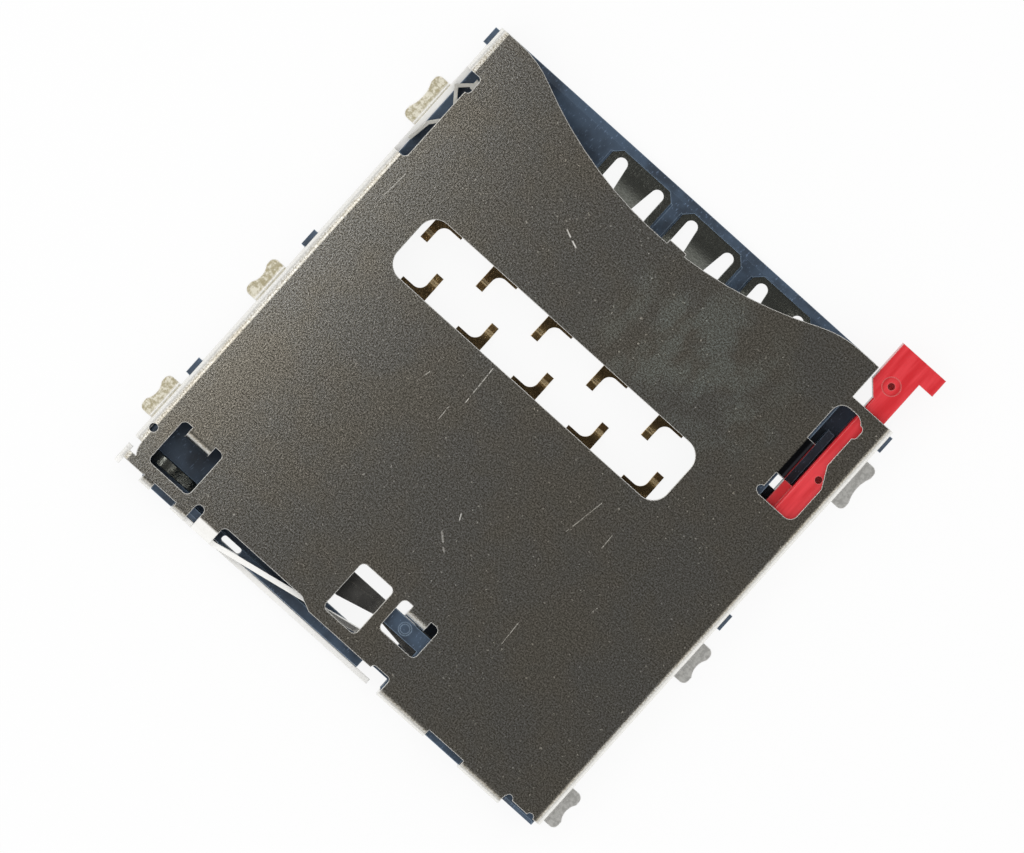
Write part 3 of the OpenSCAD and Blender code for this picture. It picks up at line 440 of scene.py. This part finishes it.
def lever_steel():
    """Blanked spring steel: darker than the cover, with rolling lines across it and rubbed bright spots."""
    material, sheet = new_finish("blanked_spring_steel")
    place = sheet.place_mm()
    grain = sheet.noise(place, 20.0)
    rolled = sheet.noise(sheet.stretched(place, (0.8, 15.0, 2.0)), 1.0, 2.0)
    rub = sheet.noise(place, 1.1)
    tone = sheet.mixed(sheet.between(rub, 0.4, 0.66), LEVER_DARK, LEVER_RUBBED)
    rough = 0.18 + grain * 0.14
    normal = sheet.bump(grain * 0.4 + rolled * 0.6, 0.008, 0.3, sheet.edge_normal(0.03))
    sheet.solid({"Base Color": tone, "Metallic": 1.0, "Roughness": rough, "Normal": normal})
    return material


def dress_nodes():
    """Gives every solid the finish of its material slot in the record."""
    finishes = {
        "cover_steel": cover_steel(),
        "moulding": moulding_plastic(),
        "contact_bronze": contact_bronze(),
        "red_plastic": ejector_red(),
        "lever_steel": lever_steel(),
    }
    for entry in frame["record"]["subparts"]:
        slots = frame["nodes"][entry["node"]].data.materials
        slots.clear()
        slots.append(finishes[entry["material_slot"]])


FLOOR_HALF = 1.5
FLOOR_GLOW = 0.9
FLOOR_MATT = (0.86, 0.86, 0.86, 1.0)


def lay_floor():
    """A flat white floor at board level: white to the eye and in reflections, with a faint shadow kept."""
    corners = FLOOR_HALF * np.array([[-1, -1, 0], [1, -1, 0], [1, 1, 0], [-1, 1, 0]], float)
    mesh = bpy.data.meshes.new("floor")
    mesh.from_pydata(corners.tolist(), [], [(0, 1, 2, 3)])
    material, sheet = new_finish("white_floor")
    path = sheet.node("ShaderNodeLightPath").socket.node
    camera, glossy, clear = (
        Wire(sheet, path.outputs[name]) for name in ("Is Camera Ray", "Is Glossy Ray", "Is Transmission Ray")
    )
    seen = (camera + glossy + clear).clipped()
    matt = sheet.node("ShaderNodeBsdfDiffuse", None, {"Color": FLOOR_MATT})
    glow = sheet.node("ShaderNodeEmission", None, {"Color": WHITE, "Strength": 1.0})
    sheet.surface(sheet.node("ShaderNodeMixShader", None, {0: seen * FLOOR_GLOW, 1: matt, 2: glow}))
    mesh.materials.append(material)
    floor = bpy.data.objects.new("floor", mesh)
    bpy.context.scene.collection.objects.link(floor)


# Grey that metal sees by height: bright walls and a dark ceiling that leans and is longer along Y.
STUDIO_TONES = [(0.0, 1.0), (0.45, 1.0), (0.68, 0.8), (0.80, 0.42), (0.89, 0.095), (1.0, 0.058)]
STUDIO_AXIS = Vector((-0.15, -0.08, 1.0)).normalized()
STUDIO_REACH = 0.4
STUDIO_STRENGTH = 1.25

# The horizon's share of the full strength, and the heights over which the full strength is reached.
HORIZON_SHARE = 0.55
HORIZON_RISE = (0.25, 0.65)

LAMP_PLACE = Vector((0.020, 0.002, 0.042))
LAMP_SIZE = 0.02
LAMP_WATTS = 0.0021


def light_studio():
    """Even white light for matt surfaces, a studio with a dark ceiling in reflections, a soft lamp on the left."""
    world = bpy.data.worlds.new("studio")
    bpy.context.scene.world = world
    world.use_nodes = True
    sheet = Sheet(world.node_tree)
    way = sheet.node("ShaderNodeTexCoord", output="Generated")
    east, north, high = sheet.axes(way)
    height = (east * STUDIO_AXIS.x + north * STUDIO_AXIS.y + high * STUDIO_AXIS.z).at_least(0.0)
    stops = [(place, (tone, tone, tone, 1.0)) for place, tone in STUDIO_TONES]
    ceiling = (height * height + north * north * STUDIO_REACH) ** 0.5
    tone = sheet.node("ShaderNodeValToRGB", {"stops": stops}, {"Fac": ceiling})
    share = HORIZON_SHARE + sheet.between(high, *HORIZON_RISE) * (1.0 - HORIZON_SHARE)
    tone = sheet.stretched(tone, share * STUDIO_STRENGTH)
    glossy = sheet.node("ShaderNodeLightPath", output="Is Glossy Ray")
    tone = sheet.mixed(glossy, WHITE, tone)
    sky = sheet.node("ShaderNodeBackground", None, {"Color": tone, "Strength": 1.0})
    sheet.node("ShaderNodeOutputWorld", None, {"Surface": sky})
    lamp = bpy.data.lights.new("side_lamp", "AREA")
    lamp.size = LAMP_SIZE
    lamp.energy = LAMP_WATTS
    holder = bpy.data.objects.new("side_lamp", lamp)
    bpy.context.scene.collection.objects.link(holder)
    turn = LAMP_PLACE.to_track_quat("Z", "Y").to_matrix().to_4x4()
    holder.matrix_world = Matrix.Translation(LAMP_PLACE) @ turn


# The photograph's frame: nearly straight down, turned about the vertical, with the scale of the contact pitch.
PHOTO_WIDTH = 1024
PIXELS_PER_MM = 37.2
VIEW_CENTRE_MM = (0.197, -0.012)
VIEW_UP = Vector((0.6691, -0.7431, 0.0))
CAMERA_REACH = 0.4
CAMERA_WAY = Vector((0.035, -0.022, 1.0)).normalized()
CAMERA_CLIP = (0.005, 10.0)
SENSOR_MM = 36.0


def set_camera():
    """A long lens above the socket, turned as the photograph is and leaning a little to the left and the mouth."""
    target = Vector((VIEW_CENTRE_MM[0] * MM, VIEW_CENTRE_MM[1] * MM, cad_box[1][2]))
    camera = bpy.data.cameras.new("camera")
    camera.sensor_width = SENSOR_MM
    camera.lens = SENSOR_MM * CAMERA_REACH / (PHOTO_WIDTH / PIXELS_PER_MM * MM)
    camera.clip_start, camera.clip_end = CAMERA_CLIP
    holder = bpy.data.objects.new("camera", camera)
    bpy.context.scene.collection.objects.link(holder)
    up = (VIEW_UP - VIEW_UP.dot(CAMERA_WAY) * CAMERA_WAY).normalized()
    turn = Matrix((up.cross(CAMERA_WAY), up, CAMERA_WAY)).transposed().to_4x4()
    holder.matrix_world = Matrix.Translation(target + CAMERA_WAY * CAMERA_REACH) @ turn
    bpy.context.scene.camera = holder


dress_nodes()
lay_floor()
light_studio()
set_camera()
bpy.context.scene.view_settings.view_transform = "Standard"
